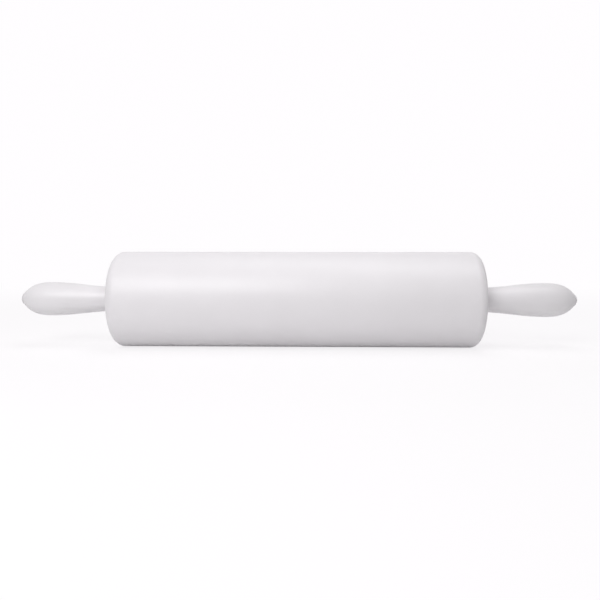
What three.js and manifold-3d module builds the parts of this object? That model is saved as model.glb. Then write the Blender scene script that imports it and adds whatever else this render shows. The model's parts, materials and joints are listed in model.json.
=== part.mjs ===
// Plastic rolling pin: a turned polyethylene roller that spins on two ball bearings around a
// steel axle, with a moulded handle screwed to each end of the axle.
// Millimetres, +Z up. The pin lies along X on its roller, and the origin is the middle of the
// strip on which the roller rests.

import * as THREE from "three";
import { mergeVertices } from "three/addons/utils/BufferGeometryUtils.js";
import Module from "manifold-3d";

const wasm = await Module();
wasm.setup();

// Driving dimensions

// Roller
const ROLLER_DIAMETER = 80;
const ROLLER_LENGTH = 305;
const ROLLER_EDGE_RADIUS = 8;

// Handles, measured from the roller's end face
const HANDLE_LENGTH = 81.8;
const BELLY_DIAMETER = 28.4;
const BELLY_FROM_TIP = 25.8;
const NECK_WALL = 4.15;
const NECK_INSERTION = 2; // how far the neck reaches into the roller
const NECK_EDGE_CHAMFER = 0.6;
const HANDLE_WEB = 6; // the wall that the handle screw pulls on
const SCREW_BORE_DEPTH = 28.5; // from the handle's nose to that wall

// Fullness of the handle's two curves, as shares of the stretch that each one spans
const NECK_FULLNESS = 0.345;
const BELLY_FULLNESS_TO_NECK = 0.35;
const BELLY_FULLNESS_TO_NOSE = 0.49;
const NOSE_FULLNESS = 0.265;
const NOSE_BLUNTNESS = 0.735; // of the step in radius from nose to belly

// Plug in a handle's nose
const PLUG_LIP = 1; // the seat around the screw bore
const PLUG_DOME = 2.6;
const PLUG_STEM_LENGTH = 8;
const PLUG_STEM_CHAMFER = 0.7;

// Screw and washer that hold a handle
const SCREW_DIAMETER = 4;
const SCREW_LENGTH = 20;
const SCREW_TIP_CHAMFER = 0.6;
const SCREW_HEAD_LEDGE = 1.5; // beyond the shank
const SCREW_HEAD_HEIGHT = 4;
const SCREW_SOCKET_WIDTH = 3; // across the flats
const SCREW_SOCKET_DEPTH = 2;
const SCREW_HOLE_SPARE = 3; // depth of the axle's tapped hole past the screw
const WASHER_WIDTH = 2;
const WASHER_THICKNESS = 0.8;

// Axle and the circlips that locate the bearings on it
const AXLE_DIAMETER = 12;
const AXLE_END_GAP = 0.5; // keeps the screw pulling on the handle and not on the axle's end
const AXLE_END_CHAMFER = 1;
const CIRCLIP_THICKNESS = 1;
const CIRCLIP_HEIGHT = 2.6; // stands this far out of the axle
const CIRCLIP_GROOVE_DEPTH = 0.5;
const CIRCLIP_OPENING = 4.5;
const CIRCLIP_LUG_HOLE = 1.4;
const CIRCLIP_ROOM = 2.4; // between a circlip and the roller's bore

// Ball bearings
const BALL_DIAMETER = 4.76;
const BALL_COUNT = 8;
const INNER_RING_WALL = 1.6; // under the groove
const OUTER_RING_WALL = 1.4;
const GROOVE_DEPTH = 1.1;
const CAGE_BASE = 0.52; // beside the pockets
const CAGE_CLAW_REACH = 1.4; // past the balls' centres, on the cage's open side
const SHIELD_THICKNESS = 0.4;
const SHIELD_INSET = 0.2; // below the face of the ring
const SHIELD_REBATE = 0.6; // of the shield in the outer ring

// Bearing cover and the spacer inside it
const COVER_INSET = 0.5; // below the roller's end face
const COVER_STEP = 3.5; // beyond the bearing
const COVER_FLOOR = 3.3;
const COVER_RIM = 3; // least wall around the neck
const SPACER_WALL = 2;

// Clearances
const SEAT_GAP = 0.1; // between pieces that sit still on each other
const BALL_GAP = 0.1;
const POCKET_GAP = 0.2;
const CAGE_GAP = 0.3;
const SHIELD_GAP = 0.2;
const NECK_GAP = 0.6; // around the neck where it turns in the cover
const NECK_END_GAP = 0.6;
const SPACER_GAP = 0.6; // around the spacer where it turns in the cover

// Sides of the round pieces, and steps along their curves
const ROLLER_SIDES = 64;
const HANDLE_SIDES = 28;
const PLUG_SIDES = 24;
const COVER_SIDES = 32;
const BEARING_SIDES = 20;
const AXLE_SIDES = 20;
const SMALL_SIDES = 16;
const HEXAGON = 6;
const BALL_SIDES = 8;
const BALL_RINGS = 6;
const HANDLE_STEPS = 8;
const EDGE_STEPS = 6;
const GROOVE_STEPS = 4;
const DOME_STEPS = 4;
const CIRCLIP_STEPS = 8;

// Sizes and places that follow from these. Places are along X on the right-hand end.
const rollerRadius = ROLLER_DIAMETER / 2;
const endFace = ROLLER_LENGTH / 2;
const axleRadius = AXLE_DIAMETER / 2;
const ballRadius = BALL_DIAMETER / 2;
const screwRadius = SCREW_DIAMETER / 2;

const axleBore = axleRadius + SEAT_GAP; // of what sits on the axle
const innerGroove = axleBore + INNER_RING_WALL;
const pitchRadius = innerGroove + BALL_GAP + ballRadius;
const outerGroove = pitchRadius + ballRadius + BALL_GAP;
const innerLand = innerGroove + GROOVE_DEPTH;
const outerLand = outerGroove - GROOVE_DEPTH;
const bearingRadius = outerGroove + OUTER_RING_WALL;
const pocketRadius = ballRadius + POCKET_GAP;
const cageReach = pocketRadius + CAGE_BASE;
const shieldInner = cageReach + CAGE_GAP;
const shieldOuter = shieldInner + SHIELD_THICKNESS;
const bearingHalfWidth = shieldOuter + SHIELD_INSET;

const neckRadius = axleBore + NECK_WALL;
const neckEnd = endFace - NECK_INSERTION;
const recessFloor = neckEnd - NECK_END_GAP;
const coverBack = recessFloor - COVER_FLOOR;
const bearingFace = coverBack - SEAT_GAP;
const bearingMiddle = bearingFace - bearingHalfWidth;
const bearingBack = bearingMiddle - bearingHalfWidth;
const seatShoulder = bearingBack - SEAT_GAP;

const spacerRadius = axleBore + SPACER_WALL;
const recessRadius = neckRadius + NECK_GAP;
const coverRadius = Math.max(bearingRadius + COVER_STEP, recessRadius + COVER_RIM);
const coverSeat = coverRadius + SEAT_GAP;
const bearingSeat = bearingRadius + SEAT_GAP;
const circlipRadius = axleRadius + CIRCLIP_HEIGHT;
const rollerBore = circlipRadius + CIRCLIP_ROOM;
const edgeRadius = Math.min(ROLLER_EDGE_RADIUS, rollerRadius - coverSeat);

const screwHeadRadius = screwRadius + SCREW_HEAD_LEDGE;
const screwHole = screwRadius + SEAT_GAP;
const washerRadius = screwHole + WASHER_WIDTH;
const screwBore = Math.max(washerRadius, screwHeadRadius) + SEAT_GAP;
const tip = endFace + HANDLE_LENGTH;
const nose = tip - PLUG_DOME;
const noseRadius = screwBore + PLUG_LIP;
const webOuter = nose - SCREW_BORE_DEPTH;
const webInner = webOuter - HANDLE_WEB;
const axleEnd = webInner - AXLE_END_GAP;
const washerFace = webOuter + SEAT_GAP + WASHER_THICKNESS;
const screwHeadFace = washerFace + SEAT_GAP;
const screwTip = screwHeadFace - SCREW_LENGTH;

// Materials
const whitePolyethylene = plastic(0xeeeeef, 0.42);
const whitePolypropylene = plastic(0xe9e9eb, 0.38);
const naturalPolyamide = plastic(0xd9d2bd, 0.5);
const stainlessSteel = steel(0xb9bcbf, 0.3);
const bearingSteel = steel(0xa9adb2, 0.18);
const springSteel = steel(0x4a4a4c, 0.45);
const zincPlate = steel(0xc4c6c4, 0.35);

function plastic(color, roughness) {
  return new THREE.MeshStandardMaterial({ color, roughness, metalness: 0 });
}

function steel(color, roughness) {
  return new THREE.MeshStandardMaterial({ color, roughness, metalness: 1 });
}

function piece(name, geometry, material) {
  const mesh = new THREE.Mesh(geometry, material);
  mesh.name = name;
  return mesh;
}

// The corner radius at which a regular polygon's flats lie at a radius. Bores use it, so that
// no flat cuts into what is inside.
function withFlatsAt(radius, sides) {
  return radius / Math.cos(Math.PI / sides);
}

// A body of revolution about X with a flat underneath. The profile is a list of [x, radius]
// points that runs along the outside towards +X. It starts and ends on the axis, or else it
// closes on itself.
function turned(profile, sides) {
  const points = profile.map(([x, radius]) => new THREE.Vector2(radius, x));
  if (profile[0][1] > 0) points.push(points[0].clone());
  return new THREE.LatheGeometry(points, sides, Math.PI / sides).rotateZ(-Math.PI / 2);
}

// The profile of a piece with two like ends, from the profile of its right-hand end.
function bothEnds(rightEnd) {
  const leftEnd = rightEnd.map(([x, radius]) => [-x, radius]).reverse();
  return [...leftEnd, ...rightEnd];
}

// A plain sleeve between two places on the axis.
function sleeve(from, to, bore, radius, sides) {
  const inside = withFlatsAt(bore, sides);
  return turned(
    [
      [from, inside],
      [from, radius],
      [to, radius],
      [to, inside],
    ],
    sides,
  );
}

// Points [x, radius] on a circle, between two angles from the X axis in radians.
function arc(centreX, centreRadius, radius, fromAngle, toAngle, steps) {
  return Array.from({ length: steps + 1 }, (_, i) => {
    const angle = fromAngle + ((toAngle - fromAngle) * i) / steps;
    return [centreX + radius * Math.cos(angle), centreRadius + radius * Math.sin(angle)];
  });
}

// Points [x, radius] on a cubic curve with these four control points.
function curve(start, startControl, endControl, end, steps) {
  const controls = [start, startControl, endControl, end].map((p) => new THREE.Vector2(...p));
  return new THREE.CubicBezierCurve(...controls).getPoints(steps).map((p) => [p.x, p.y]);
}

// A solid that can be cut, from a closed geometry.
function solid(geometry) {
  const bare = geometry.clone();
  bare.deleteAttribute("normal");
  bare.deleteAttribute("uv");
  const merged = mergeVertices(bare);
  return new wasm.Manifold(
    new wasm.Mesh({
      numProp: 3,
      vertProperties: merged.attributes.position.array,
      triVerts: new Uint32Array(merged.index.array),
    }),
  );
}

// The geometry of a solid after its cuts.
function geometryOf(made) {
  const mesh = made.getMesh();
  const geometry = new THREE.BufferGeometry();
  geometry.setAttribute("position", new THREE.BufferAttribute(mesh.vertProperties, 3));
  geometry.setIndex(new THREE.BufferAttribute(mesh.triVerts, 1));
  geometry.computeVertexNormals();
  return geometry;
}

// Roller: a solid bar with rounded ends, bored through, with a stepped seat at each end for the
// bearing and its cover. Its flats lie at the real diameter, so that it rests on one of them.
function roller() {
  const outside = withFlatsAt(rollerRadius, ROLLER_SIDES);
  const bore = withFlatsAt(rollerBore, ROLLER_SIDES);
  const ringSeat = withFlatsAt(bearingSeat, ROLLER_SIDES);
  const capSeat = withFlatsAt(coverSeat, ROLLER_SIDES);
  const rounded = arc(endFace - edgeRadius, outside - edgeRadius, edgeRadius, Math.PI / 2, 0, EDGE_STEPS);
  const rightEnd = [
    ...rounded,
    [endFace, capSeat],
    [bearingFace, capSeat],
    [bearingFace, ringSeat],
    [seatShoulder, ringSeat],
    [seatShoulder, bore],
  ];
  return turned(bothEnds(rightEnd), ROLLER_SIDES);
}

// Axle: a rod with a circlip groove inboard of each bearing and a tapped hole in each end.
function axle() {
  const hole = withFlatsAt(screwHole, AXLE_SIDES);
  const grooveOuter = bearingBack;
  const grooveInner = bearingBack - CIRCLIP_THICKNESS - 2 * SEAT_GAP;
  const grooveRadius = axleRadius - CIRCLIP_GROOVE_DEPTH;
  const rightEnd = [
    [grooveInner, axleRadius],
    [grooveInner, grooveRadius],
    [grooveOuter, grooveRadius],
    [grooveOuter, axleRadius],
    [axleEnd - AXLE_END_CHAMFER, axleRadius],
    [axleEnd, axleRadius - AXLE_END_CHAMFER],
    [axleEnd, hole],
    [screwTip - SCREW_HOLE_SPARE, hole],
    [screwTip - SCREW_HOLE_SPARE, 0],
  ];
  return turned(bothEnds(rightEnd), AXLE_SIDES);
}

// Handle: a neck that swells to a belly and draws in to a blunt nose. It is bored for the axle
// from the neck and for the screw from the nose, with a wall between the two bores.
function handle() {
  const bore = withFlatsAt(axleBore, HANDLE_SIDES);
  const webHole = withFlatsAt(screwHole, HANDLE_SIDES);
  const plugBore = withFlatsAt(screwBore, HANDLE_SIDES);
  const belly = tip - BELLY_FROM_TIP;
  const bellyRadius = BELLY_DIAMETER / 2;
  const inboard = belly - endFace;
  const outboard = nose - belly;
  const neckToBelly = curve(
    [endFace, neckRadius],
    [endFace + NECK_FULLNESS * inboard, neckRadius],
    [belly - BELLY_FULLNESS_TO_NECK * inboard, bellyRadius],
    [belly, bellyRadius],
    HANDLE_STEPS,
  );
  const bellyToNose = curve(
    [belly, bellyRadius],
    [belly + BELLY_FULLNESS_TO_NOSE * outboard, bellyRadius],
    [nose - NOSE_FULLNESS * outboard, noseRadius + NOSE_BLUNTNESS * (bellyRadius - noseRadius)],
    [nose, noseRadius],
    HANDLE_STEPS,
  );
  return turned(
    [
      [neckEnd, bore],
      [neckEnd, neckRadius - NECK_EDGE_CHAMFER],
      [neckEnd + NECK_EDGE_CHAMFER, neckRadius],
      ...neckToBelly,
      ...bellyToNose.slice(1),
      [nose, plugBore],
      [webOuter, plugBore],
      [webOuter, webHole],
      [webInner, webHole],
      [webInner, bore],
    ],
    HANDLE_SIDES,
  );
}

// Tip plug: a domed button on a stem that presses into the handle's screw bore.
function tipPlug() {
  const seat = nose + SEAT_GAP;
  const stemRadius = screwBore - SEAT_GAP;
  const stemEnd = seat - PLUG_STEM_LENGTH;
  const domeHeight = tip - seat;
  const domeRadius = (noseRadius ** 2 + domeHeight ** 2) / (2 * domeHeight);
  const dome = arc(tip - domeRadius, 0, domeRadius, Math.asin(noseRadius / domeRadius), 0, DOME_STEPS);
  return turned(
    [
      [stemEnd, 0],
      [stemEnd, stemRadius - PLUG_STEM_CHAMFER],
      [stemEnd + PLUG_STEM_CHAMFER, stemRadius],
      [seat, stemRadius],
      ...dome.slice(0, -1),
      [tip, 0],
    ],
    PLUG_SIDES,
  );
}

// Handle screw: a socket-head cap screw that pulls the handle towards the bearing.
function handleScrew() {
  const headEnd = screwHeadFace + SCREW_HEAD_HEIGHT;
  const body = turned(
    [
      [screwTip, 0],
      [screwTip, screwRadius - SCREW_TIP_CHAMFER],
      [screwTip + SCREW_TIP_CHAMFER, screwRadius],
      [screwHeadFace, screwRadius],
      [screwHeadFace, screwHeadRadius],
      [headEnd, screwHeadRadius],
      [headEnd, 0],
    ],
    SMALL_SIDES,
  );
  const corner = withFlatsAt(SCREW_SOCKET_WIDTH / 2, HEXAGON);
  const socket = new THREE.CylinderGeometry(corner, corner, 2 * SCREW_SOCKET_DEPTH, HEXAGON)
    .rotateZ(-Math.PI / 2)
    .translate(headEnd, 0, 0);
  return geometryOf(solid(body).subtract(solid(socket)));
}

// Circlip: an open ring with a hole in each end for the fitting pliers.
function circlip() {
  const inside = axleRadius - CIRCLIP_GROOVE_DEPTH + SEAT_GAP;
  const middle = (inside + circlipRadius) / 2;
  const halfOpening = Math.asin(CIRCLIP_OPENING / 2 / middle);
  const start = Math.PI / 2 + halfOpening;
  const end = Math.PI / 2 - halfOpening + 2 * Math.PI;
  const outline = new THREE.Shape();
  outline.absarc(0, 0, circlipRadius, start, end, false);
  outline.absarc(0, 0, inside, end, start, true);
  const lugAngle = CIRCLIP_LUG_HOLE / middle;
  for (const angle of [start + lugAngle, end - lugAngle]) {
    const hole = new THREE.Path();
    const [y, z] = [middle * Math.cos(angle), middle * Math.sin(angle)];
    hole.absarc(y, z, CIRCLIP_LUG_HOLE / 2, 0, 2 * Math.PI, true);
    outline.holes.push(hole);
  }
  const options = { depth: CIRCLIP_THICKNESS, bevelEnabled: false, curveSegments: CIRCLIP_STEPS };
  return new THREE.ExtrudeGeometry(outline, options)
    .rotateY(Math.PI / 2)
    .translate(seatShoulder - CIRCLIP_THICKNESS, 0, 0);
}

// Bearing cover: a ring pressed into the roller over the bearing, with a recess in which the
// handle's neck turns.
function bearingCover() {
  const outerFace = endFace - COVER_INSET;
  const bore = withFlatsAt(spacerRadius + SPACER_GAP, COVER_SIDES);
  const recess = withFlatsAt(recessRadius, COVER_SIDES);
  return turned(
    [
      [coverBack, bore],
      [coverBack, coverRadius],
      [outerFace, coverRadius],
      [outerFace, recess],
      [recessFloor, recess],
      [recessFloor, bore],
    ],
    COVER_SIDES,
  );
}

// Bearing rings, with their ball groove. The outer ring has a rebate for each shield.
function innerRing() {
  const groove = grooveArc(innerLand, false, 1);
  const bore = withFlatsAt(axleBore, BEARING_SIDES);
  return turned(
    [
      [bearingBack, bore],
      [bearingBack, innerLand],
      ...groove,
      [bearingFace, innerLand],
      [bearingFace, bore],
    ],
    BEARING_SIDES,
  );
}

function outerRing() {
  const open = withFlatsAt(1, BEARING_SIDES);
  const rebate = (outerLand + SHIELD_REBATE) * open;
  const rebateDepth = shieldInner - SEAT_GAP;
  const groove = grooveArc(outerLand, true, open);
  return turned(
    [
      [bearingBack, bearingRadius],
      [bearingFace, bearingRadius],
      [bearingFace, rebate],
      [bearingMiddle + rebateDepth, rebate],
      [bearingMiddle + rebateDepth, outerLand * open],
      ...groove,
      [bearingMiddle - rebateDepth, outerLand * open],
      [bearingMiddle - rebateDepth, rebate],
      [bearingBack, rebate],
    ],
    BEARING_SIDES,
  );
}

// The groove around the balls, from land to land. The outer ring's runs the other way, and its
// radii are stretched so that the flats clear the balls.
function grooveArc(land, isOuter, stretch) {
  const radius = ballRadius + BALL_GAP;
  const angle = Math.asin((land - pitchRadius) / radius);
  const [from, to] = isOuter ? [angle, Math.PI - angle] : [-Math.PI - angle, angle];
  return arc(bearingMiddle, pitchRadius, radius, from, to, GROOVE_STEPS).map(([x, r]) => [x, r * stretch]);
}

// Ball cage: a crown with a pocket for each ball, open on the inboard side.
function ballCage() {
  const inside = innerLand + CAGE_GAP;
  const outside = outerLand - CAGE_GAP;
  const claws = bearingMiddle - CAGE_CLAW_REACH;
  const ring = sleeve(claws, bearingMiddle + cageReach, inside, outside, BEARING_SIDES);
  const corner = withFlatsAt(pocketRadius, SMALL_SIDES);
  const pocket = new THREE.CylinderGeometry(corner, corner, 2 * (outside - inside), SMALL_SIDES)
    .rotateX(Math.PI / 2)
    .translate(bearingMiddle, 0, pitchRadius);
  let crown = solid(ring);
  for (let i = 0; i < BALL_COUNT; i++) {
    crown = crown.subtract(solid(pocket.clone().rotateX(ballAngle(i))));
  }
  return geometryOf(crown);
}

function ballAngle(i) {
  return (2 * Math.PI * i) / BALL_COUNT;
}

// Ball: one of the ring of balls, counted from the top.
function ball(i) {
  return new THREE.SphereGeometry(ballRadius, BALL_SIDES, BALL_RINGS)
    .translate(bearingMiddle, 0, pitchRadius)
    .rotateX(ballAngle(i));
}

// Shield: a thin disc that closes a bearing, seated in the outer ring and clear of the inner.
function shield(from, to) {
  const outside = outerLand + SHIELD_REBATE - SEAT_GAP;
  return sleeve(bearingMiddle + from, bearingMiddle + to, innerLand + SHIELD_GAP, outside, BEARING_SIDES);
}

// One end of the pin: the bearing with its cover, and the handle with what holds it.
function pinEnd(side) {
  const group = new THREE.Group();
  const add = (name, geometry, material) => group.add(piece(`${side}_${name}`, geometry, material));
  add("handle", handle(), whitePolypropylene);
  add("tip_plug", tipPlug(), whitePolypropylene);
  add("handle_screw", handleScrew(), stainlessSteel);
  const washer = sleeve(webOuter + SEAT_GAP, washerFace, screwHole, washerRadius, SMALL_SIDES);
  add("screw_washer", washer, stainlessSteel);
  const spacer = sleeve(coverBack, neckEnd - SEAT_GAP, axleBore, spacerRadius, AXLE_SIDES);
  add("spacer_sleeve", spacer, stainlessSteel);
  add("bearing_cover", bearingCover(), whitePolyethylene);
  add("bearing_outer_ring", outerRing(), bearingSteel);
  add("bearing_inner_ring", innerRing(), bearingSteel);
  add("ball_cage", ballCage(), naturalPolyamide);
  for (let i = 0; i < BALL_COUNT; i++) {
    add(`ball_${i + 1}`, ball(i), bearingSteel);
  }
  add("outboard_shield", shield(shieldInner, shieldOuter), zincPlate);
  add("inboard_shield", shield(-shieldOuter, -shieldInner), zincPlate);
  add("circlip", circlip(), springSteel);
  return group;
}

const rollingPin = new THREE.Group();
rollingPin.position.z = rollerRadius;
rollingPin.add(piece("roller", roller(), whitePolyethylene));
rollingPin.add(piece("axle", axle(), stainlessSteel));
rollingPin.add(pinEnd("right"));
const leftEnd = pinEnd("left");
leftEnd.rotation.z = Math.PI;
rollingPin.add(leftEnd);

export default rollingPin;
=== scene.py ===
"""Plastic rolling pin: smooth pieces and finishes, fitted around the pin's solids.

Laid out as an add-on and run as a script. Lengths are in metres. +X runs along the axle towards
the right-hand handle, -Y faces the cook and +Z is up.
"""

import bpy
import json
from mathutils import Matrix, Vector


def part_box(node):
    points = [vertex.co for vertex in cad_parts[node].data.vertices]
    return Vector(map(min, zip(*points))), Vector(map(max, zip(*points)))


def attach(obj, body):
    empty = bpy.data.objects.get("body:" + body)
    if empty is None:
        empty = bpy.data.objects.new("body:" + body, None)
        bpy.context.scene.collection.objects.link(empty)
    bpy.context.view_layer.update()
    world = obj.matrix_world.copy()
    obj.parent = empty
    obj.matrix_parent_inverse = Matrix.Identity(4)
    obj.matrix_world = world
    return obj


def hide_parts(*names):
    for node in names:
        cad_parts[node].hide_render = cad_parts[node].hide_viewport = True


bl_info = {
    "name": "Plastic Rolling Pin",
    "version": (1, 0, 0),
    "blender": (4, 5, 0),
    "location": "View3D > Sidebar > Rolling Pin",
    "description": "Makes a plastic rolling pin with its axle, bearings and handles, on a studio floor",
    "category": "Object",
}

import json
import math

import bmesh
import bpy
from bpy.props import FloatProperty, FloatVectorProperty, PointerProperty
from bpy.types import NodeSocket, Operator, Panel, PropertyGroup
from mathutils import Matrix, Vector

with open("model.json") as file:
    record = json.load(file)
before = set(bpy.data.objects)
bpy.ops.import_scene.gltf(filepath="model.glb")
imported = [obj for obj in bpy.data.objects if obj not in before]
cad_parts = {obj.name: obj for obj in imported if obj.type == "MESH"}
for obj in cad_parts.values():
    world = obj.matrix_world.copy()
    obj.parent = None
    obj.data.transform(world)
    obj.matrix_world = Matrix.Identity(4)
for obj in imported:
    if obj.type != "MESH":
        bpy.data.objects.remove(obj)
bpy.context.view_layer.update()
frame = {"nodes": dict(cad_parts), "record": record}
IMAGE_SIDE = 600
MM = 0.001
SIDES = {"left": math.pi, "right": 0.0}  # turn about the vertical, from the right-hand end


# Reading the solids


def span(node):
    """Where a solid starts and ends along the axle."""
    low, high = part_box(node)
    return low.x, high.x


def middle(node):
    """The middle of a solid's box."""
    low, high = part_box(node)
    return (low + high) / 2


AXIS_HEIGHT = middle("roller").z


def from_axle(place):
    """How far a place is from the axle's centre line."""
    return math.hypot(place.y, place.z - AXIS_HEIGHT)


def reach(node):
    """How far a solid's furthest corner is from the axle's centre line."""
    solid = frame["nodes"][node]
    return max(from_axle(solid.matrix_world @ v.co) for v in solid.data.vertices)


BODIES = frame["record"]["behaviour"]["bodies"]


def body_of(node):
    """The moving body that a solid belongs to."""
    return next(body for body, members in BODIES.items() if node in members)


def balls_of(side):
    """The ball solids of one bearing."""
    return [node for node in BODIES[f"{side}_ball_set"] if node != f"{side}_ball_cage"]


# Settings that a user would change


def length(name, description, default):
    """A length setting."""
    return FloatProperty(name=name, description=description, default=default, min=0.0, unit="LENGTH")


def along_axle(name, description, default):
    """A place along the axle, with the right-hand end positive."""
    return FloatProperty(name=name, description=description, default=default, unit="LENGTH")


def share(name, description, default):
    """A setting from 0 to 1."""
    return FloatProperty(
        name=name, description=description, default=default, min=0.0, max=1.0, subtype="FACTOR"
    )


def angle(name, description, degrees):
    """An angle setting, given in degrees."""
    return FloatProperty(name=name, description=description, default=math.radians(degrees), subtype="ANGLE")


def colour(name, description, default):
    """A colour setting, in linear values."""
    return FloatVectorProperty(name=name, description=description, default=default, size=3, subtype="COLOR")


def power(name, description, default):
    """A lamp's power setting."""
    return FloatProperty(name=name, description=description, default=default, min=0.0, unit="POWER")


class FitSettings(PropertyGroup):
    """Gaps and small roundings that the pieces share."""

    seat_gap: length("Seat gap", "Gap between pieces that sit still on each other", 0.1 * MM)
    turning_gap: length("Turning gap", "Room around the neck and spacer, which turn in the cover", 0.6 * MM)
    moulded_edge: length("Moulded edge", "Rounding of the plastic pieces' edges", 0.5 * MM)
    metal_edge: length("Metal edge", "Rounding of the metal pieces' edges", 0.15 * MM)


class RollerSettings(PropertyGroup):
    """Sizes of the roller."""

    radius: length("Radius", "Radius of the roller, which rests on the floor", AXIS_HEIGHT)
    edge_radius: length("Edge radius", "Rounding of the roller's ends", 8 * MM)
    bore_room: length("Bore room", "Room around the circlips in the roller's bore", 2.4 * MM)


class HandleSettings(PropertyGroup):
    """Sizes of the handles and their plugs."""

    neck_wall: length("Neck wall", "Wall of the neck around the axle", 4.15 * MM)
    belly_radius: length("Belly radius", "Radius of a handle's fullest part", reach("right_handle"))
    belly_from_tip: length("Belly from tip", "From the handle's tip to its fullest part", 25.8 * MM)
    neck_fullness: share("Neck fullness", "How long the neck stays slim", 0.345)
    belly_inboard: share("Belly inboard", "How full the belly is towards the neck", 0.35)
    belly_outboard: share("Belly outboard", "How full the belly is towards the nose", 0.49)
    nose_fullness: share("Nose fullness", "How late the nose draws in", 0.265)
    nose_bluntness: share("Nose bluntness", "How blunt the nose is", 0.735)
    lip: length("Lip", "Width of the nose's seat around the screw bore", 1.0 * MM)
    seam: length("Seam", "Rounding on both sides of the seam between nose and plug", 0.5 * MM)
    axle_end_gap: length("Axle end gap", "Room between the axle's end and the handle's web", 0.5 * MM)


class AxleSettings(PropertyGroup):
    """Sizes of the axle, its circlips and the handle screws."""

    end_chamfer: length("End chamfer", "Chamfer of the axle's ends", 1.0 * MM)
    groove_depth: length("Groove depth", "Depth of the circlip grooves", 0.5 * MM)
    circlip_opening: length("Circlip opening", "Opening of the circlips", 4.5 * MM)
    lug_hole: length("Lug hole", "Diameter of the holes in the circlips' lugs", 1.4 * MM)
    screw_radius: length("Screw radius", "Radius of the handle screws' thread", 2.0 * MM)
    pitch: length("Pitch", "Pitch of the handle screws' thread", 0.7 * MM)
    hole_spare: length("Hole spare", "Depth of the tapped hole past the screw", 3.0 * MM)
    socket_width: length("Socket width", "Width of the screws' sockets across the flats", 3.0 * MM)
    socket_depth: length("Socket depth", "Depth of the screws' sockets", 2.0 * MM)


class BearingSettings(PropertyGroup):
    """Sizes inside the two ball bearings."""

    ball_radius: length("Ball radius", "Radius of the balls", 2.38 * MM)
    ball_gap: length("Ball gap", "Room between a ball and its groove", 0.1 * MM)
    pocket_gap: length("Pocket gap", "Room between a ball and its pocket in the cage", 0.2 * MM)
    groove_depth: length("Groove depth", "Depth of the ball grooves", 1.1 * MM)
    cage_gap: length("Cage gap", "Room between the cage and the rings", 0.3 * MM)
    shield_gap: length("Shield gap", "Room between a shield and the inner ring", 0.2 * MM)
    shield_rim: length("Shield rim", "Width of the shields' raised rim", 0.6 * MM)


class FinishSettings(PropertyGroup):
    """Colours of the plastics and metals."""

    roller: colour("Roller", "White polyethylene of the roller and covers", (0.80, 0.778, 0.80))
    handle: colour("Handle", "White polypropylene of the handles and plugs", (0.78, 0.76, 0.78))
    cage: colour("Cage", "Natural polyamide of the ball cages", (0.69, 0.64, 0.51))
    stainless: colour("Stainless", "Stainless steel of the axle and fasteners", (0.49, 0.50, 0.52))
    bearing: colour("Bearing", "Polished steel of the rings and balls", (0.40, 0.42, 0.45))
    spring: colour("Spring", "Blackened spring steel of the circlips", (0.07, 0.07, 0.072))
    zinc: colour("Zinc", "Zinc-plated steel of the bearing shields", (0.55, 0.56, 0.55))


class StageSettings(PropertyGroup):
    """Camera, lamps and floor."""

    azimuth: angle("Azimuth", "Camera's turn around the pin from square-on", 1.5)
    elevation: angle("Elevation", "Camera's height above level", 6.0)
    distance: length("Distance", "From the camera to its aim", 548 * MM)
    focal_pixels: FloatProperty(name="Focal length", description="In pixels of the image", default=648.0)
    aim_right: length("Aim right", "Camera's aim, right of the roller's middle", 3.0 * MM)
    aim_drop: length("Aim drop", "Camera's aim, below the axle", 0.55 * MM)
    sky: FloatProperty(name="Sky", description="Strength of the even light from all round", default=0.2)
    backdrop: colour("Backdrop", "White of the floor and sky as the camera sees them", (1.0, 0.985, 1.0))
    floor: colour("Floor", "Pale floor that throws light back on the pin", (0.92, 0.92, 0.92))
    floor_shadow: share("Floor shadow", "Depth of the shadow that the camera sees on the floor", 0.2)
    shadow_start: length("Shadow start", "Distance at which the shadow starts to fade", 0.267)
    shadow_reach: length("Shadow reach", "Distance at which the floor is plain white", 0.8)
    box_side: length("Soft box side", "Width of each soft box", 0.5)
    box_distance: length("Soft box distance", "From each soft box to the axle", 0.9)
    key_power: power("Key power", "Soft box in front of the left-hand end", 4.7)
    key_place: along_axle("Key place", "Key soft box's place along the axle", -0.3)
    key_elevation: angle("Key elevation", "Key soft box's height, from level in front", 40)
    top_power: power("Top power", "Soft box above the right-hand end", 2.1)
    top_place: along_axle("Top place", "Top soft box's place along the axle", 0.3)
    top_elevation: angle("Top elevation", "Top soft box's height, from level in front", 80)
    back_power: power("Back power", "Soft box above and just behind the middle", 1.6)
    back_place: along_axle("Back place", "Back soft box's place along the axle", 0.0)
    back_elevation: angle("Back elevation", "Back soft box's height, from level in front", 100)
    rear_power: power("Rear power", "Fill lamp behind the pin", 2.0)
    rear_elevation: angle("Rear elevation", "Rear fill's height, from level in front", 165)
    end_power: power("End power", "Fill lamp beyond each end of the pin", 0.6)
    end_place: along_axle("End place", "End fills' aim, out from the pin's middle", 0.1)
    end_azimuth: angle("End azimuth", "End fills' turn from straight in front", 112)
    end_elevation: angle("End elevation", "End fills' height above level", 15)


class RollingPinSettings(PropertyGroup):
    """All of the rolling pin's settings."""

    fit: PointerProperty(name="Fit", description="Gaps and roundings", type=FitSettings)
    roller: PointerProperty(name="Roller", description="Roller", type=RollerSettings)
    handle: PointerProperty(name="Handle", description="Handles and plugs", type=HandleSettings)
    axle: PointerProperty(name="Axle", description="Axle, circlips and screws", type=AxleSettings)
    bearing: PointerProperty(name="Bearing", description="Ball bearings", type=BearingSettings)
    finish: PointerProperty(name="Finish", description="Colours", type=FinishSettings)
    stage: PointerProperty(name="Stage", description="Camera, lamps and floor", type=StageSettings)


# Outlines and meshes

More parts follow.
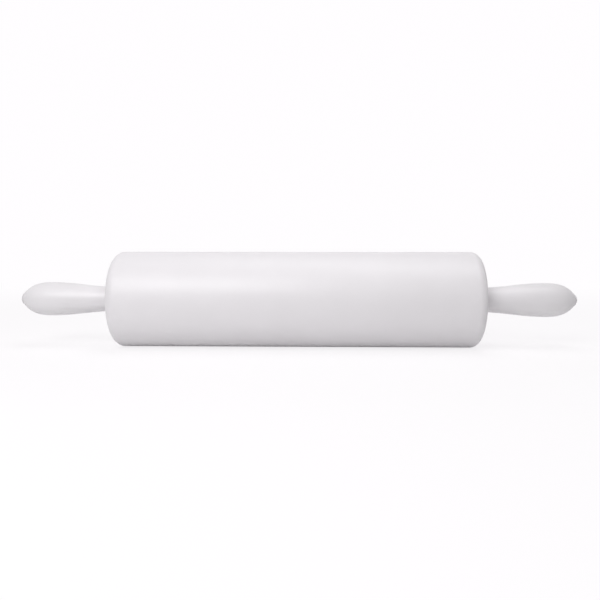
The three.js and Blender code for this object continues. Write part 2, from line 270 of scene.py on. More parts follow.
ROLLER_SIDES = 256
HANDLE_SIDES = 128
SMALL_SIDES = 96
POCKET_SIDES = 48
LUG_HOLE_SIDES = 24
BALL_SUBDIVISIONS = 4
FILLET_STEPS = 5
CIRCLIP_EDGE_STEPS = 2
EDGE_STEPS = 18
CURVE_STEPS = 40
SHARP_ANGLE = math.radians(40)
WELD = 0.001 * MM


def arc(centre, radius, start, end, steps):
    """Points (x, radius) on a circle, between two angles from the +X direction."""
    turns = [start + (end - start) * i / steps for i in range(steps + 1)]
    return [(centre[0] + radius * math.cos(t), centre[1] + radius * math.sin(t)) for t in turns]


def bezier(start, start_pull, end_pull, end):
    """Points (x, radius) on a cubic curve."""
    points = []
    for i in range(CURVE_STEPS + 1):
        t = i / CURVE_STEPS
        s = 1 - t
        weights = (s ** 3, 3 * s * s * t, 3 * s * t * t, t ** 3)
        controls = (start, start_pull, end_pull, end)
        points.append(tuple(sum(w * c[k] for w, c in zip(weights, controls)) for k in (0, 1)))
    return points


def filleted(corners):
    """Points (x, radius) of an outline from corners (x, radius, fillet), each fillet an arc."""
    points = []
    for i, (x, r, fillet) in enumerate(corners):
        if not fillet:
            points.append((x, r))
            continue
        here = Vector((x, r))
        to_last = (Vector(corners[i - 1][:2]) - here).normalized()
        to_next = (Vector(corners[(i + 1) % len(corners)][:2]) - here).normalized()
        half = to_last.angle(to_next) / 2
        centre = here + (to_last + to_next).normalized() * fillet / math.sin(half)
        first = here + to_last * fillet / math.tan(half) - centre
        bends_left = to_last.x * to_next.y - to_last.y * to_next.x < 0
        sweep = (math.pi - 2 * half) * (1 if bends_left else -1)
        start = math.atan2(first.y, first.x)
        points += arc(centre, fillet, start, start + sweep, FILLET_STEPS)
    return points


def tube(start, end, bore, radius, edge):
    """Outline of a plain tube with rounded edges."""
    return filleted([(start, bore, edge), (start, radius, edge), (end, radius, edge), (end, bore, edge)])


def both_ends(right):
    """A whole outline from its right-hand half."""
    left = [(-x, r) for x, r in reversed(right)]
    return left + right


def turned(outline, sides):
    """A bmesh turned about the axle's centre line from an outline of (x, radius) points.

    A radius may be a function of the turn, for flutes, flats and threads. An outline that doesn't
    start on the centre line closes on itself.
    """
    bm = bmesh.new()
    rings = [ring_of_corners(bm, x, radius, sides) for x, radius in outline]
    pairs = list(zip(rings, rings[1:]))
    if outline[0][1]:
        pairs.append((rings[-1], rings[0]))
    for first, second in pairs:
        for i in range(sides):
            corners = (first[i - 1], first[i], second[i], second[i - 1])
            # On the centre line two of the four corners are the same one.
            bm.faces.new(dict.fromkeys(corners))
    return bm


def ring_of_corners(bm, x, radius, sides):
    """A ring of corners around the axle, or the one corner on its centre line for each side."""
    if not radius:
        return [bm.verts.new((x, 0.0, AXIS_HEIGHT))] * sides
    ring = []
    for i in range(sides):
        turn = 2 * math.pi * i / sides
        r = radius(turn) if callable(radius) else radius
        ring.append(bm.verts.new((x, r * math.sin(turn), AXIS_HEIGHT + r * math.cos(turn))))
    return ring


def object_from(name, bm):
    """A smooth-shaded object from a finished bmesh, which is used up, with its faces outwards."""
    bmesh.ops.recalc_face_normals(bm, faces=bm.faces)
    if bm.calc_volume(signed=True) < 0:
        bmesh.ops.reverse_faces(bm, faces=bm.faces)
    mesh = bpy.data.meshes.new(name)
    bm.to_mesh(mesh)
    bm.free()
    mesh.shade_smooth()
    mesh.set_sharp_from_angle(angle=SHARP_ANGLE)
    made = bpy.data.objects.new(name, mesh)
    bpy.context.scene.collection.objects.link(made)
    return made


def stand_for(piece, node, material):
    """Puts a piece in a solid's place: it looks as given, and it moves with the solid's body."""
    piece.data.materials.append(material)
    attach(piece, body_of(node))
    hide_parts(node)


def at_side(bm, side):
    """Turns a bmesh made for the right-hand end of the pin round to the given end."""
    bm.transform(Matrix.Rotation(SIDES[side], 4, "Z"))
    return bm


def twins(name, node, outline, sides, material):
    """The same turned piece for both ends of the pin."""
    for side in SIDES:
        piece = object_from(f"{side}_{name}", at_side(turned(outline, sides), side))
        stand_for(piece, f"{side}_{node}", material)


# Finishes

NOISE_MIDDLE = (0.3, 0.7)  # most of a noise's values lie between these
ASLANT_RISE = 0.6  # added to a white plastic's roughness where it is seen edge-on


class NodeTree:
    """The node tree of a material or world in the making."""

    def __init__(self, owner):
        owner.use_nodes = True
        self.tree = owner.node_tree

    def node(self, kind, inputs=None, **attributes):
        """Adds a node. An input is a number, a colour or another node's output."""
        made = self.tree.nodes.new(kind)
        for key, value in attributes.items():
            setattr(made, key, value)
        for key, value in (inputs or {}).items():
            self.feed(made.inputs[key], value)
        return made

    def feed(self, socket, value):
        """Links an output to an input, or sets the input's own value."""
        if isinstance(value, NodeSocket):
            self.tree.links.new(value, socket)
        else:
            socket.default_value = value

    def seen_directly(self):
        """A value of 1 for what the camera, a reflection or a glass shows, and 0 for other light."""
        path = self.node("ShaderNodeLightPath").outputs
        seen = path["Is Camera Ray"]
        for ray in ("Is Glossy Ray", "Is Transmission Ray"):
            seen = self.node("ShaderNodeMath", {0: seen, 1: path[ray]}, operation="MAXIMUM").outputs[0]
        return seen


class Finish(NodeTree):
    """A surface material in the making, with patterns placed on the object."""

    def __init__(self, name):
        self.material = bpy.data.materials.new(name)
        super().__init__(self.material)
        self.shader = self.tree.nodes["Principled BSDF"]
        self.place = self.node("ShaderNodeTexCoord").outputs["Object"]

    def surface(self, **inputs):
        """Sets inputs of the shader, by their names with underscores for spaces."""
        for key, value in inputs.items():
            self.feed(self.shader.inputs[key.replace("_", " ")], value)

    def lathe_place(self):
        """Places as (x, distance from the axle, y), so that marks of a lathe run around the axle."""
        from_centre = self.node(
            "ShaderNodeVectorMath", {0: self.place, 1: (0.0, 0.0, AXIS_HEIGHT)}, operation="SUBTRACT"
        )
        across = self.node(
            "ShaderNodeVectorMath", {0: from_centre.outputs[0], 1: (0.0, 1.0, 1.0)}, operation="MULTIPLY"
        )
        distance = self.node("ShaderNodeVectorMath", {0: across.outputs[0]}, operation="LENGTH")
        axes = self.node("ShaderNodeSeparateXYZ", {0: self.place}).outputs
        made = self.node("ShaderNodeCombineXYZ", {0: axes["X"], 1: distance.outputs["Value"], 2: axes["Y"]})
        return made.outputs[0]

    def noise(self, grain, stretch=(1, 1, 1), detail=3.0, place=None):
        """Noise with a grain of about that length, stretched along the axes."""
        scale = [1 / (grain * s) for s in stretch]
        scaled = self.node("ShaderNodeMapping", {"Vector": place or self.place, "Scale": scale})
        made = self.node(
            "ShaderNodeTexNoise", {"Vector": scaled.outputs["Vector"], "Scale": 1.0, "Detail": detail}
        )
        return made.outputs["Fac"]

    def ranged(self, noise, low, high):
        """Spreads the middle of a noise over a range of values."""
        start, end = NOISE_MIDDLE
        made = self.node(
            "ShaderNodeMapRange",
            {"Value": noise, "From Min": start, "From Max": end, "To Min": low, "To Max": high},
        )
        return made.outputs["Result"]

    def towards_ends(self, start, end):
        """A value that rises from 0 to 1 between two distances from the pin's middle along the axle."""
        along = self.node("ShaderNodeSeparateXYZ", {0: self.place}).outputs["X"]
        away = self.node("ShaderNodeMath", {0: along}, operation="ABSOLUTE").outputs[0]
        made = self.node("ShaderNodeMapRange", {"Value": away, "From Min": start, "From Max": end})
        return made.outputs["Result"]

    def times(self, first, second):
        """The product of two values."""
        return self.node("ShaderNodeMath", {0: first, 1: second}, operation="MULTIPLY").outputs[0]

    def blend(self, factor, first, second):
        """A mix of two colours."""
        made = self.node("ShaderNodeMix", data_type="RGBA")
        sockets = {socket.identifier: socket for socket in (*made.inputs, *made.outputs)}
        self.feed(sockets["Factor_Float"], factor)
        self.feed(sockets["A_Color"], first)
        self.feed(sockets["B_Color"], second)
        return sockets["Result_Color"]

    def duller_aslant(self, roughness):
        """A roughness that rises where the surface is seen aslant, as on finely grained plastic."""
        facing = self.node("ShaderNodeLayerWeight").outputs["Facing"]
        rise = self.times(self.times(facing, facing), ASLANT_RISE)
        return self.node("ShaderNodeMath", {0: roughness, 1: rise}, operation="ADD").outputs[0]

    def bump(self, height, depth, under=None):
        """Surface relief of a given depth, over another relief if there is one."""
        made = self.node("ShaderNodeBump", {"Height": height, "Distance": depth, "Strength": 1.0})
        if under is not None:
            self.feed(made.inputs["Normal"], under)
        return made.outputs["Normal"]


def shade(rgb, factor):
    """A colour made lighter or darker, as red, green, blue and alpha."""
    return (*(min(1.0, c * factor) for c in rgb), 1.0)


def finish_once(maker):
    """Makes each finish only once, under its function's name."""

    def made(settings):
        found = bpy.data.materials.get(maker.__name__)
        if found:
            return found
        finish = Finish(maker.__name__)
        maker(finish, settings)
        return finish.material

    return made


@finish_once
def turned_polyethylene(finish, settings):
    """White polyethylene, turned on a lathe: feed marks, mottling, scuffs and worn round ends."""
    white = settings.finish.roller
    end = span("roller")[1]
    cloud = finish.ranged(finish.noise(grain=35 * MM), low=0.0, high=1.0)
    feed_marks = finish.noise(grain=0.4 * MM, stretch=(1, 1, 300), detail=1.0, place=finish.lathe_place())
    scuffs = finish.noise(grain=4 * MM, stretch=(0.3, 8, 8), detail=4.0)
    rubs = finish.ranged(finish.noise(grain=5 * MM, detail=6.0), low=0.0, high=1.0)
    worn = finish.times(rubs, finish.towards_ends(end - 2 * settings.roller.edge_radius, end))
    fresh = finish.blend(cloud, shade(white, 0.985), shade(white, 1.01))
    relief = finish.bump(feed_marks, depth=0.004 * MM)
    finish.surface(
        Base_Color=finish.blend(worn, fresh, shade(white, 0.965)),
        Roughness=finish.duller_aslant(finish.ranged(scuffs, low=0.36, high=0.46)),
        Normal=finish.bump(scuffs, depth=0.004 * MM, under=relief),
        IOR=1.52,
        Subsurface_Weight=0.15,
        Subsurface_Radius=(1.0, 1.0, 1.0),
        Subsurface_Scale=2.5 * MM,
    )


@finish_once
def moulded_polypropylene(finish, settings):
    """White polypropylene from a mould: a fine even grain, smoother where hands have rubbed it."""
    white = settings.finish.handle
    cloud = finish.ranged(finish.noise(grain=20 * MM), low=0.0, high=1.0)
    grain = finish.noise(grain=0.3 * MM, detail=2.0)
    rubbed = finish.noise(grain=14 * MM, stretch=(2, 1, 1))
    finish.surface(
        Base_Color=finish.blend(cloud, shade(white, 0.98), shade(white, 1.01)),
        Roughness=finish.duller_aslant(finish.ranged(rubbed, low=0.28, high=0.42)),
        Normal=finish.bump(grain, depth=0.004 * MM),
        IOR=1.49,
        Subsurface_Weight=0.15,
        Subsurface_Radius=(1.0, 1.0, 1.0),
        Subsurface_Scale=2.0 * MM,
    )


@finish_once
def natural_polyamide(finish, settings):
    """Cream polyamide of the ball cages, a little uneven from moulding."""
    cream = settings.finish.cage
    cloud = finish.ranged(finish.noise(grain=3 * MM), low=0.0, high=1.0)
    finish.surface(
        Base_Color=finish.blend(cloud, shade(cream, 0.92), shade(cream, 1.04)),
        Roughness=finish.ranged(finish.noise(grain=1 * MM), low=0.42, high=0.55),
        Normal=finish.bump(finish.noise(grain=0.2 * MM), depth=0.003 * MM),
        IOR=1.53,
    )


def steel(finish, rgb, marks, smooth, rough):
    """Bare metal with marks around the axle, between two roughnesses."""
    lines = finish.noise(grain=marks, stretch=(1, 1, 60), detail=2.0, place=finish.lathe_place())
    stain = finish.ranged(finish.noise(grain=9 * MM), low=0.0, high=1.0)
    finish.surface(
        Base_Color=finish.blend(stain, shade(rgb, 0.9), shade(rgb, 1.06)),
        Metallic=1.0,
        Roughness=finish.ranged(lines, low=smooth, high=rough),
        Normal=finish.bump(lines, depth=0.002 * MM),
    )


@finish_once
def drawn_stainless(finish, settings):
    """Bright-drawn stainless steel of the axle, screws, washers and spacers."""
    steel(finish, settings.finish.stainless, marks=0.25 * MM, smooth=0.2, rough=0.36)


@finish_once
def ground_bearing_steel(finish, settings):
    """Ground and polished steel of the bearing rings and balls."""
    steel(finish, settings.finish.bearing, marks=0.08 * MM, smooth=0.08, rough=0.18)


@finish_once
def blackened_spring_steel(finish, settings):
    """Phosphated spring steel of the circlips."""
    steel(finish, settings.finish.spring, marks=0.3 * MM, smooth=0.38, rough=0.55)


@finish_once
def zinc_plate(finish, settings):
    """Thin zinc-plated sheet of the bearing shields."""
    steel(finish, settings.finish.zinc, marks=0.4 * MM, smooth=0.26, rough=0.42)


# Plastic pieces


class ROLLINGPIN_OT_make_roller(Operator):
    """Make the turned roller with its rounded ends and stepped seats"""

    bl_idname = "rolling_pin.make_roller"
    bl_label = "Make Roller"

    def execute(self, context):
        settings = context.scene.rolling_pin
        roller, gap, edge = settings.roller, settings.fit.seat_gap, settings.fit.moulded_edge
        end = span("roller")[1]
        shoulder = span("right_bearing_outer_ring")[0] - gap
        ledge = span("right_bearing_outer_ring")[1]
        ring_seat = reach("right_bearing_outer_ring") + gap
        cover_seat = reach("right_bearing_cover") + gap
        bore = reach("right_circlip") + roller.bore_room
        rounding = (end - roller.edge_radius, roller.radius - roller.edge_radius)
        outside = arc(rounding, roller.edge_radius, math.pi / 2, 0, EDGE_STEPS)
        seats = filleted([
            (end, roller.radius, 0.0),
            (end, cover_seat, edge),
            (ledge, cover_seat, 0.0),
            (ledge, ring_seat, edge),
            (shoulder, ring_seat, 0.0),
            (shoulder, bore, edge),
            (0.0, bore, 0.0),
        ])
        # The seats' first and last corners only give the directions of the end face and the bore.
        outline = both_ends(outside + seats[1:-1])
        piece = object_from("turned_roller", turned(outline, ROLLER_SIDES))
        stand_for(piece, "roller", turned_polyethylene(settings))
        return {"FINISHED"}


class ROLLINGPIN_OT_make_covers(Operator):
    """Make the bearing covers that show as rings in the roller's ends"""

    bl_idname = "rolling_pin.make_covers"
    bl_label = "Make Bearing Covers"

    def execute(self, context):
        settings = context.scene.rolling_pin
        fit = settings.fit
        back, face = span("right_bearing_cover")
        outside = reach("right_bearing_cover")
        recess = neck_radius(settings) + fit.turning_gap
        floor = span("right_handle")[0] - fit.turning_gap
        bore = reach("right_spacer_sleeve") + fit.turning_gap
        outline = filleted([
            (back, bore, 0.0),
            (back, outside, fit.moulded_edge),
            (face, outside, fit.moulded_edge),
            (face, recess, fit.moulded_edge),
            (floor, recess, fit.moulded_edge),
            (floor, bore, fit.moulded_edge),
        ])
        twins("end_cover", "bearing_cover", outline, HANDLE_SIDES, turned_polyethylene(settings))
        return {"FINISHED"}


def neck_radius(settings):
    """Outer radius of a handle's neck."""
    return reach("axle") + settings.fit.seat_gap + settings.handle.neck_wall


def handle_curve(settings):
    """The handle's outside from the roller's end over the belly to the nose."""
    handle = settings.handle
    start, neck = span("roller")[1], neck_radius(settings)
    nose, nose_radius = span("right_handle")[1], reach("right_tip_plug")
    belly, belly_radius = span("right_tip_plug")[1] - handle.belly_from_tip, handle.belly_radius
    inboard, outboard = belly - start, nose - belly
    swell = bezier(
        (start, neck),
        (start + handle.neck_fullness * inboard, neck),
        (belly - handle.belly_inboard * inboard, belly_radius),
        (belly, belly_radius),
    )
    blunt = nose_radius + handle.nose_bluntness * (belly_radius - nose_radius)
    draw_in = bezier(
        (belly, belly_radius),
        (belly + handle.belly_outboard * outboard, belly_radius),
        (nose - handle.nose_fullness * outboard, blunt),
        (nose, nose_radius),
    )
    return swell + draw_in[1:-1]


class ROLLINGPIN_OT_make_handles(Operator):
    """Make the two moulded handles"""

    bl_idname = "rolling_pin.make_handles"
    bl_label = "Make Handles"

    def execute(self, context):
        settings = context.scene.rolling_pin
        gap, edge, fine_edge = settings.fit.seat_gap, settings.fit.moulded_edge, settings.fit.metal_edge
        neck_end, nose = span("right_handle")
        nose_radius = reach("right_tip_plug")
        screw_bore = nose_radius - settings.handle.lip
        screw_hole = settings.axle.screw_radius + gap
        axle_bore = reach("axle") + gap
        web_outer = span("right_screw_washer")[0] - gap
        web_inner = span("axle")[1] + settings.handle.axle_end_gap
        outside = handle_curve(settings)
        inside = filleted([
            (*outside[-1], 0.0),
            (nose, nose_radius, settings.handle.seam),
            (nose, screw_bore, fine_edge),
            (web_outer, screw_bore, edge),
            (web_outer, screw_hole, fine_edge),
            (web_inner, screw_hole, fine_edge),
            (web_inner, axle_bore, edge),
            (neck_end, axle_bore, edge),
            (neck_end, neck_radius(settings), edge),
            (*outside[0], 0.0),
        ])
        # The inside starts and ends on corners that the outside already has.
        outline = outside + inside[1:-1]
        twins("grip", "handle", outline, HANDLE_SIDES, moulded_polypropylene(settings))
        return {"FINISHED"}


SEAM_STEPS = 2  # steps of a plug's dome that the seam's rounding takes up


class ROLLINGPIN_OT_make_tip_plugs(Operator):
    """Make the domed plugs that close the handles' noses"""

    bl_idname = "rolling_pin.make_tip_plugs"
    bl_label = "Make Tip Plugs"

    def execute(self, context):
        settings = context.scene.rolling_pin
        gap, edge = settings.fit.seat_gap, settings.fit.moulded_edge
        stem_end, tip = span("right_tip_plug")
        rim = reach("right_tip_plug")
        seat = span("right_handle")[1] + gap
        stem = rim - settings.handle.lip - gap
        height = tip - seat
        dome_radius = (rim ** 2 + height ** 2) / (2 * height)
        dome = arc((tip - dome_radius, 0), dome_radius, math.asin(rim / dome_radius), 0, EDGE_STEPS)
        past_seam = dome[SEAM_STEPS:-1]
        root = filleted([
            (stem_end, 0.0, 0.0),
            (stem_end, stem, edge),
            (seat, stem, 0.0),
            (seat, rim, settings.handle.seam),
            (*past_seam[0], 0.0),
        ])
        outline = root + past_seam[1:] + [(tip, 0.0)]
        twins("button", "tip_plug", outline, HANDLE_SIDES, moulded_polypropylene(settings))
        return {"FINISHED"}


# Metal pieces on the axle


class ROLLINGPIN_OT_make_axle(Operator):
    """Make the axle with its circlip grooves and tapped ends"""

    bl_idname = "rolling_pin.make_axle"
    bl_label = "Make Axle"

    def execute(self, context):
        settings = context.scene.rolling_pin
        axle, gap, edge = settings.axle, settings.fit.seat_gap, settings.fit.metal_edge
        radius, end = reach("axle"), span("axle")[1]
        groove = radius - axle.groove_depth
        groove_start, groove_end = span("right_circlip")[0] - gap, span("right_circlip")[1] + gap
        hole = axle.screw_radius + gap
        hole_end = span("right_handle_screw")[0] - axle.hole_spare
        right = filleted([
            (0.0, radius, 0.0),
            (groove_start, radius, edge),
            (groove_start, groove, 0.0),
            (groove_end, groove, 0.0),
            (groove_end, radius, edge),
            (end - axle.end_chamfer, radius, edge),
            (end, radius - axle.end_chamfer, edge),
            (end, hole, edge),
            (hole_end, hole, 0.0),
            (hole_end, 0.0, 0.0),
        ])
        # The first corner, in the axle's middle, only gives the direction of its surface.
        outline = both_ends(right[1:])
        piece = object_from("axle_rod", turned(outline, SMALL_SIDES))
        stand_for(piece, "axle", drawn_stainless(settings))
        return {"FINISHED"}


THREAD_STEPS = 6  # rings of corners in one pitch
THREAD_DEPTH = 0.61  # of the pitch
PLAIN_TURNS = 2  # pitches without a thread, under the screw's head
KNURL_FLUTES = 32


def thread_at(x, settings):
    """Radius of the right-handed thread around one ring, as a function of the turn."""
    crest, pitch = settings.axle.screw_radius, settings.axle.pitch
    depth = THREAD_DEPTH * pitch

    def radius(turn):
        phase = (x / pitch + turn / (2 * math.pi)) % 1.0
        return crest - depth * abs(2 * phase - 1)

    return radius


def fluted(radius, depth):
    """Radius of a knurled ring, as a function of the turn."""
    return lambda turn: radius - depth * (0.5 - 0.5 * math.cos(KNURL_FLUTES * turn))


def hexagonal(flat):
    """Radius of a hexagon with that distance to its flats, as a function of the turn."""
    return lambda turn: flat / math.cos(turn % (math.pi / 3) - math.pi / 6)


class ROLLINGPIN_OT_make_screws(Operator):
    """Make the socket-head screws and washers that hold the handles on the axle"""

    bl_idname = "rolling_pin.make_screws"
    bl_label = "Make Screws and Washers"

    def execute(self, context):
        settings = context.scene.rolling_pin
        axle, gap, edge = settings.axle, settings.fit.seat_gap, settings.fit.metal_edge
        tip, top = span("right_handle_screw")
        head_radius = reach("right_handle_screw")
        seat = span("right_screw_washer")[1] + gap
        thread_start = tip + axle.pitch
        rings = int((seat - thread_start) / axle.pitch - PLAIN_TURNS) * THREAD_STEPS
        places = [thread_start + i * axle.pitch / THREAD_STEPS for i in range(rings)]
        thread = [(x, thread_at(x, settings)) for x in places]
        knurl = fluted(head_radius, edge)
        socket = axle.socket_width / 2
        outline = [
            (tip, 0.0),
            (tip, axle.screw_radius - axle.pitch),
            *thread,
            (places[-1] + axle.pitch / 2, axle.screw_radius),
            (seat, axle.screw_radius),
            (seat, head_radius - edge),
            (seat + edge, head_radius - edge),
            (seat + 2 * edge, knurl),
            (top - 3 * edge, knurl),
            (top - 2 * edge, head_radius - edge),
            (top, head_radius - 2 * edge),
            (top, hexagonal(socket + edge)),
            (top - edge, hexagonal(socket)),
            (top - axle.socket_depth, hexagonal(socket)),
            (top - axle.socket_depth - edge, 0.0),
        ]
        washer_hole = axle.screw_radius + gap
        washer = tube(*span("right_screw_washer"), washer_hole, reach("right_screw_washer"), edge)
        twins("cap_screw", "handle_screw", outline, SMALL_SIDES, drawn_stainless(settings))
        twins("flat_washer", "screw_washer", washer, SMALL_SIDES, drawn_stainless(settings))
        return {"FINISHED"}


class ROLLINGPIN_OT_make_spacers(Operator):
    """Make the sleeves that space the handles from the bearings"""

    bl_idname = "rolling_pin.make_spacers"
    bl_label = "Make Spacer Sleeves"

    def execute(self, context):
        settings = context.scene.rolling_pin
        bore = reach("axle") + settings.fit.seat_gap
        outside = reach("right_spacer_sleeve")
        outline = tube(*span("right_spacer_sleeve"), bore, outside, settings.fit.metal_edge)
        twins("distance_sleeve", "spacer_sleeve", outline, SMALL_SIDES, drawn_stainless(settings))
        return {"FINISHED"}


class ROLLINGPIN_OT_make_circlips(Operator):
    """Make the spring circlips with their plier holes"""

    bl_idname = "rolling_pin.make_circlips"
    bl_label = "Make Circlips"

    def execute(self, context):
        settings = context.scene.rolling_pin
        for side in SIDES:
            piece = object_from(f"{side}_snap_ring", at_side(circlip(settings), side))
            stand_for(piece, f"{side}_circlip", blackened_spring_steel(settings))
        return {"FINISHED"}


def circlip(settings):
    """The right-hand end's flat spring ring, open at the back: a filled curve with rounded edges."""
    axle, edge = settings.axle, settings.fit.metal_edge
    low, high = span("right_circlip")
    inside = reach("axle") - axle.groove_depth + settings.fit.seat_gap
    outside = reach("right_circlip")
    ring = (inside + outside) / 2
    half_opening = math.asin(axle.circlip_opening / 2 / ring)
    start = math.pi / 2 + half_opening
    end = start + 2 * (math.pi - half_opening)
    curve = bpy.data.curves.new("circlip", "CURVE")
    curve.dimensions = "2D"
    curve.fill_mode = "BOTH"
    curve.extrude = (high - low) / 2 - edge
    curve.bevel_depth = edge
    curve.bevel_resolution = CIRCLIP_EDGE_STEPS
    curve.offset = -edge
    outer = arc((0, 0), outside, start, end, SMALL_SIDES)
    inner = arc((0, 0), inside, end, start, SMALL_SIDES)
    closed_line(curve, outer + inner)
    lug = axle.lug_hole / ring
    for place in (start + lug, end - lug):
        centre = (ring * math.cos(place), ring * math.sin(place))
        closed_line(curve, arc(centre, axle.lug_hole / 2, 2 * math.pi, 0, LUG_HOLE_SIDES)[:-1])
    drawn = bpy.data.objects.new("circlip", curve)
    flat = bpy.data.meshes.new_from_object(drawn)
    bm = bmesh.new()
    bm.from_mesh(flat)
    bpy.data.meshes.remove(flat)
    bpy.data.curves.remove(curve)
    bmesh.ops.remove_doubles(bm, verts=bm.verts, dist=WELD)
    across_axle = Matrix.Rotation(math.pi / 2, 4, "Y")
    bm.transform(Matrix.Translation(((low + high) / 2, 0, AXIS_HEIGHT)) @ across_axle)
    return bm


def closed_line(curve, points):
    """Adds a closed line through flat points to a curve."""
    line = curve.splines.new("POLY")
    line.points.add(len(points) - 1)
    for point, (x, y) in zip(line.points, points):
        point.co = (x, y, 0, 1)
    line.use_cyclic_u = True


# Ball bearings


def ball_circle():
    """Radius of the circle that the balls' centres lie on."""
    return from_axle(middle("right_ball_1"))


def groove(radius, start, end):
    """Arc of a ball groove between two angles, in the right-hand bearing."""
    centre = (middle("right_bearing_outer_ring").x, ball_circle())
    return arc(centre, radius, start, end, EDGE_STEPS)


class ROLLINGPIN_OT_make_bearing_rings(Operator):
    """Make the bearings' inner and outer rings with their ball grooves"""

    bl_idname = "rolling_pin.make_bearing_rings"
    bl_label = "Make Bearing Rings"

    def execute(self, context):
        settings = context.scene.rolling_pin
        bearing, gap, edge = settings.bearing, settings.fit.seat_gap, settings.fit.metal_edge
        groove_radius = bearing.ball_radius + bearing.ball_gap
        dip = math.asin(1 - bearing.groove_depth / groove_radius)
        land_offset = groove_radius - bearing.groove_depth
        back, face = span("right_bearing_outer_ring")
        outside, outer_land = reach("right_bearing_outer_ring"), ball_circle() + land_offset
        rebate = reach("right_outboard_shield") + gap
        back_step = span("right_inboard_shield")[1] + gap
        face_step = span("right_outboard_shield")[0] - gap
        outer_ring = [
            *filleted([
                (back_step, outer_land, 0.0),
                (back_step, rebate, 0.0),
                (back, rebate, edge),
                (back, outside, 2 * edge),
                (face, outside, 2 * edge),
                (face, rebate, edge),
                (face_step, rebate, 0.0),
                (face_step, outer_land, 0.0),
            ]),
            *groove(groove_radius, dip, math.pi - dip),
        ]
        bore, inner_land = reach("axle") + gap, ball_circle() - land_offset
        inner_ring = [
            *filleted([
                (face, inner_land, 2 * edge),
                (face, bore, 2 * edge),
                (back, bore, 2 * edge),
                (back, inner_land, 2 * edge),
            ]),
            *groove(groove_radius, math.pi + dip, 2 * math.pi - dip),
        ]
        finish = ground_bearing_steel(settings)
        twins("outer_race", "bearing_outer_ring", outer_ring, SMALL_SIDES, finish)
        twins("inner_race", "bearing_inner_ring", inner_ring, SMALL_SIDES, finish)
        return {"FINISHED"}


class ROLLINGPIN_OT_make_shields(Operator):
    """Make the pressed shields on both faces of each bearing"""

    bl_idname = "rolling_pin.make_shields"
    bl_label = "Make Bearing Shields"

    def execute(self, context):
        settings = context.scene.rolling_pin
        bearing, edge = settings.bearing, settings.fit.metal_edge
        inside = reach("right_bearing_inner_ring") + bearing.shield_gap
        outside = reach("right_outboard_shield")
        rim = outside - bearing.shield_rim
        for place, outward in (("outboard", 1), ("inboard", -1)):
            back, face = sorted(span(f"right_{place}_shield"), reverse=outward < 0)
            sunk = face - outward * edge
            outline = filleted([
                (back, inside, 0.0),
                (back, outside, edge),
                (face, outside, edge),
                (face, rim, edge / 2),
                (sunk, rim - edge, edge / 2),
                (sunk, inside, edge / 2),
            ])
            twins(f"{place}_disc", f"{place}_shield", outline, SMALL_SIDES, zinc_plate(settings))
        return {"FINISHED"}


class ROLLINGPIN_OT_make_cages(Operator):
    """Make the crown cages that keep the balls apart"""

    bl_idname = "rolling_pin.make_cages"
    bl_label = "Make Ball Cages"

    def execute(self, context):
        settings = context.scene.rolling_pin
        bearing, edge = settings.bearing, settings.fit.metal_edge
        inside = reach("right_bearing_inner_ring") + bearing.cage_gap
        outside = reach("right_ball_cage")
        outline = tube(*span("right_ball_cage"), inside, outside, edge)
        for side in SIDES:
            ring = at_side(turned(outline, SMALL_SIDES), side)
            cage = object_from(f"{side}_crown_cage", pocketed(ring, side, bearing))
            stand_for(cage, f"{side}_ball_cage", natural_polyamide(settings))
        return {"FINISHED"}


def pocketed(ring, side, bearing):
    """A cage's ring with the pockets of its balls cut through, as a new bmesh."""
    pocket = bearing.ball_radius + bearing.pocket_gap
    pockets = bmesh.new()
    for ball in balls_of(side):
        centre = middle(ball)
        outward = Vector((0, centre.y, centre.z - AXIS_HEIGHT)).to_track_quat("Z", "X")
        bmesh.ops.create_cone(
            pockets, cap_ends=True, segments=POCKET_SIDES,
            radius1=pocket, radius2=pocket, depth=2 * pocket,
            matrix=Matrix.LocRotScale(centre, outward, None),
        )
    whole, cutter = object_from("whole_cage", ring), object_from("pockets", pockets)
    cut = whole.modifiers.new("pockets", "BOOLEAN")
    cut.operation = "DIFFERENCE"
    cut.solver = "EXACT"
    cut.object = cutter
    bpy.context.view_layer.update()
    shaped = bpy.data.meshes.new_from_object(whole.evaluated_get(bpy.context.evaluated_depsgraph_get()))
    bm = bmesh.new()
    bm.from_mesh(shaped)
    bmesh.ops.remove_doubles(bm, verts=bm.verts, dist=WELD)
    bmesh.ops.dissolve_degenerate(bm, edges=bm.edges, dist=WELD)
    for used_up in (shaped, whole.data, cutter.data):
        bpy.data.meshes.remove(used_up)
    return bm


class ROLLINGPIN_OT_make_balls(Operator):
    """Make the bearings' steel balls"""

    bl_idname = "rolling_pin.make_balls"
    bl_label = "Make Balls"

    def execute(self, context):
        settings = context.scene.rolling_pin
        for side in SIDES:
            for node in balls_of(side):
                bm = bmesh.new()
                bmesh.ops.create_icosphere(
                    bm, subdivisions=BALL_SUBDIVISIONS, radius=settings.bearing.ball_radius,
                    matrix=Matrix.Translation(middle(node)),
                )
                ball = object_from(node.replace("ball", "steel_ball"), bm)
                stand_for(ball, node, ground_bearing_steel(settings))
        return {"FINISHED"}


# Stage

FLOOR_SIDE = 12.0
SENSOR_WIDTH = 36.0  # in millimetres, as a camera's lens is


